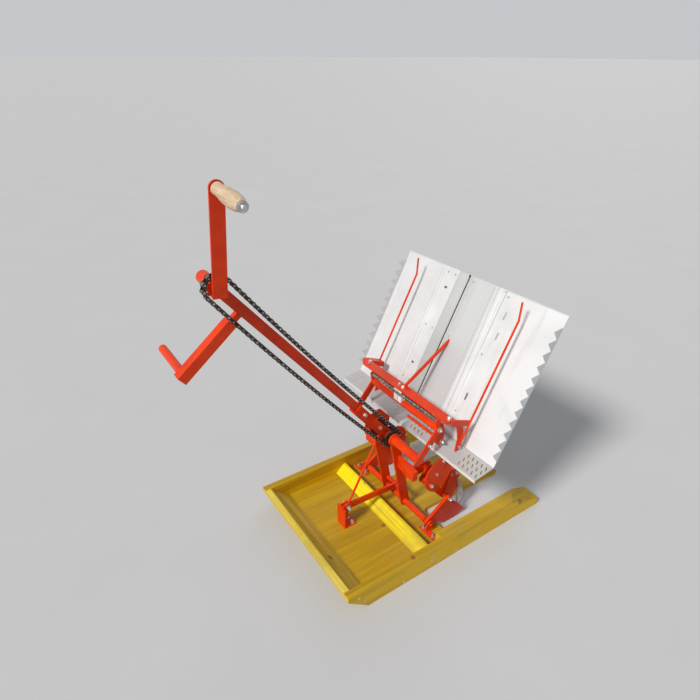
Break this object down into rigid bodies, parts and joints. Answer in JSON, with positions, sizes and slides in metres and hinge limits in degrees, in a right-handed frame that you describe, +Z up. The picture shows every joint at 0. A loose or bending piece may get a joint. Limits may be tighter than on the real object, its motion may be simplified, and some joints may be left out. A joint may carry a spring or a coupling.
{
  "type": "walk behind rice transplanter",
  "caption": "Hand cranked walk behind rice transplanter: wooden float sled, orange frame with chain drive and crank, planting arms and a sliding sheet metal seedling tray.",
  "frame": {"origin": "centre of the sled's length on its underside, midway between the two planting rows", "axes": "+X right as the operator faces the tray, +Y from the operator towards the tray, +Z up"},
  "size_m": [0.502, 0.8181, 0.886],
  "materials": {
    "orange_paint": "gloss orange red enamel",
    "yellow_paint": "yellow stained boards with visible grain",
    "tray_sheet": "silver white sheet",
    "white_nylon": "white nylon",
    "oiled_steel": "dark oiled steel",
    "bright_steel": "bare steel",
    "grip_wood": "turned beige wood"
  },
  "bodies": {
    "frame": {"deck": "yellow_paint", "nose_plank": "yellow_paint", "rail_left": "yellow_paint", "rail_right": "yellow_paint", "rail_inner": "yellow_paint", "batten": "yellow_paint", "front_foot": "orange_paint", "side_foot_left": "orange_paint", "side_foot_right": "orange_paint", "foot_tube": "orange_paint", "base_strut": "orange_paint", "front_strut": "orange_paint", "leg_left": "orange_paint", "leg_right": "orange_paint", "leg_brace": "orange_paint", "shaft_tube_left": "orange_paint", "shaft_tube_centre": "orange_paint", "shaft_tube_right": "orange_paint", "cross_bar_left": "orange_paint", "cross_bar_right": "orange_paint", "bearing_left": "orange_paint", "bearing_right": "orange_paint", "idler_plate": "orange_paint", "end_plate_left": "orange_paint", "end_plate_right": "orange_paint", "drive_plate": "orange_paint", "guide_tube": "orange_paint", "beam": "orange_paint", "beam_sleeve": "orange_paint", "hand_hold": "orange_paint", "crank_bearing": "orange_paint", "chain": "oiled_steel"},
    "crank": {"crank_shaft": "orange_paint", "crank_arm": "orange_paint", "grip_spindle": "bright_steel"},
    "grip": {"crank_grip": "grip_wood"},
    "main_shaft": {"main_shaft": "oiled_steel"},
    "idler": {"idler_gear": "oiled_steel"},
    "feed_screw": {"feed_screw": "bright_steel"},
    "planting_shaft": {"planting_shaft": "orange_paint"},
    "arm_left": {"planting_arm_left": "orange_paint", "fork_left": "bright_steel"},
    "arm_right": {"planting_arm_right": "orange_paint", "fork_right": "bright_steel"},
    "rocker_left": {"rocker_left": "orange_paint"},
    "rocker_right": {"rocker_right": "orange_paint"},
    "carriage": {"tray_left": "tray_sheet", "tray_right": "tray_sheet", "tray_ties": "tray_sheet", "carriage_bar": "orange_paint", "carriage_shoes": "white_nylon", "press_rod_left": "orange_paint", "press_rod_right": "orange_paint", "centre_stay": "orange_paint"}
  },
  "joints": [
    {"name": "crank_spin", "type": "hinge", "parent": "frame", "child": "crank", "pos_m": [0.026, -0.43407, 0.71381], "axis": [1, 0, 0], "continuous": true},
    {"name": "grip_spin", "type": "hinge", "parent": "crank", "child": "grip", "pos_m": [0.044, -0.42151, 0.87332], "axis": [0.9954, 0, -0.0958], "continuous": true},
    {"name": "main_shaft_spin", "type": "hinge", "parent": "frame", "child": "main_shaft", "pos_m": [0.026, -0.051, 0.2478], "axis": [1, 0, 0], "continuous": true},
    {"name": "idler_spin", "type": "hinge", "parent": "frame", "child": "idler", "pos_m": [-0.024, -0.0195, 0.2114], "axis": [1, 0, 0], "continuous": true},
    {"name": "planting_shaft_spin", "type": "hinge", "parent": "frame", "child": "planting_shaft", "pos_m": [0, 0.012, 0.175], "axis": [1, 0, 0], "continuous": true},
    {"name": "feed_screw_spin", "type": "hinge", "parent": "frame", "child": "feed_screw", "pos_m": [0, -0.005, 0.338], "axis": [1, 0, 0], "continuous": true},
    {"name": "arm_right_swing", "type": "hinge", "parent": "planting_shaft", "child": "arm_right", "pos_m": [0.106, -0.00605, 0.15104], "axis": [1, 0, 0], "continuous": true},
    {"name": "arm_left_swing", "type": "hinge", "parent": "planting_shaft", "child": "arm_left", "pos_m": [-0.106, -0.00605, 0.15104], "axis": [1, 0, 0], "continuous": true},
    {"name": "rocker_right_swing", "type": "hinge", "parent": "frame", "child": "rocker_right", "pos_m": [0.126, -0.005, 0.032], "axis": [1, 0, 0], "range_deg": [-3, 27]},
    {"name": "rocker_left_swing", "type": "hinge", "parent": "frame", "child": "rocker_left", "pos_m": [-0.126, -0.005, 0.032], "axis": [1, 0, 0], "range_deg": [-3, 27]},
    {"name": "tray_slide", "type": "slide", "parent": "frame", "child": "carriage", "axis": [1, 0, 0], "range_m": [-0.067, 0.077]}
  ],
  "couplings": [
    {"joint": "main_shaft_spin", "follows": "crank_spin", "ratio": 1},
    {"joint": "idler_spin", "follows": "crank_spin", "ratio": -1},
    {"joint": "planting_shaft_spin", "follows": "crank_spin", "ratio": 1},
    {"joint": "arm_right_swing", "follows": "crank_spin", "ratio": -1},
    {"joint": "arm_left_swing", "follows": "crank_spin", "ratio": -1}
  ]
}
